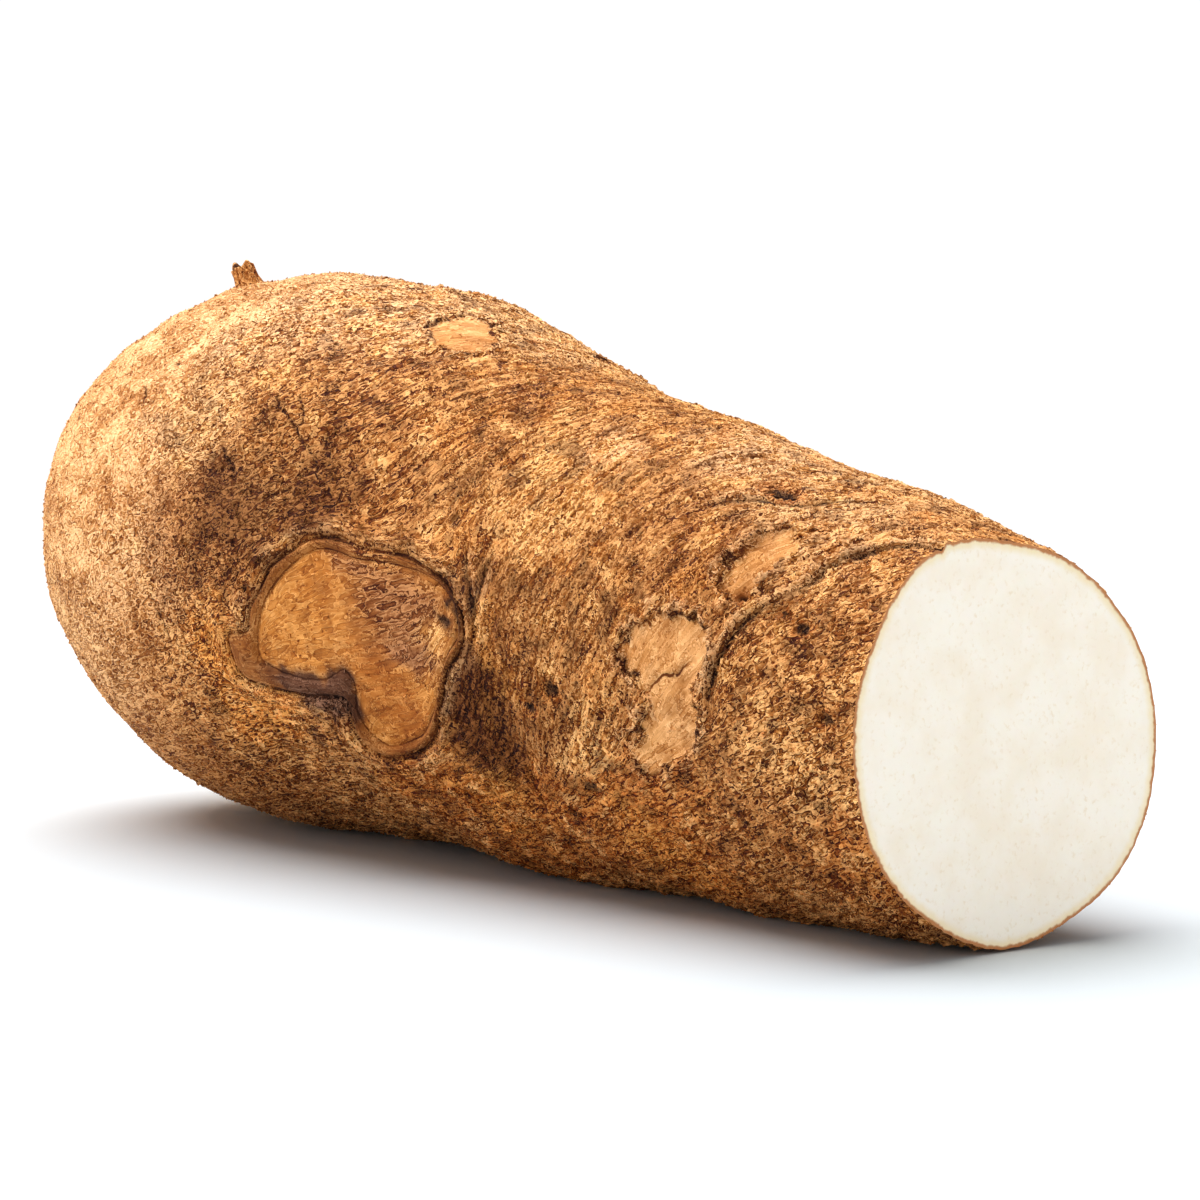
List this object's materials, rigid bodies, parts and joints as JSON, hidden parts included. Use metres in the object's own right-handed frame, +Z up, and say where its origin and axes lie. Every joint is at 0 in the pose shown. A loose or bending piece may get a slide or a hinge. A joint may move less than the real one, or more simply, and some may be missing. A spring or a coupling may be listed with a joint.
{
  "type": "white yam",
  "caption": "White yam tuber lying on its side, thick at its round end, with rough brown bark-like skin, healed scars, a root stump and a flat cream cut end.",
  "frame": {"origin": "on the surface the tuber rests on, under the middle of its box", "axes": "+X along the tuber from its round end to its cut end, -Y towards the side with the heart-shaped scar, +Z up"},
  "size_m": [0.34, 0.1442, 0.1519],
  "materials": {
    "skin": "rough, fibrous, bark-like brown skin",
    "flesh": "moist, smooth, cream-white cut flesh"
  },
  "bodies": {
    "root": {"yam": "skin"}
  },
  "joints": []
}
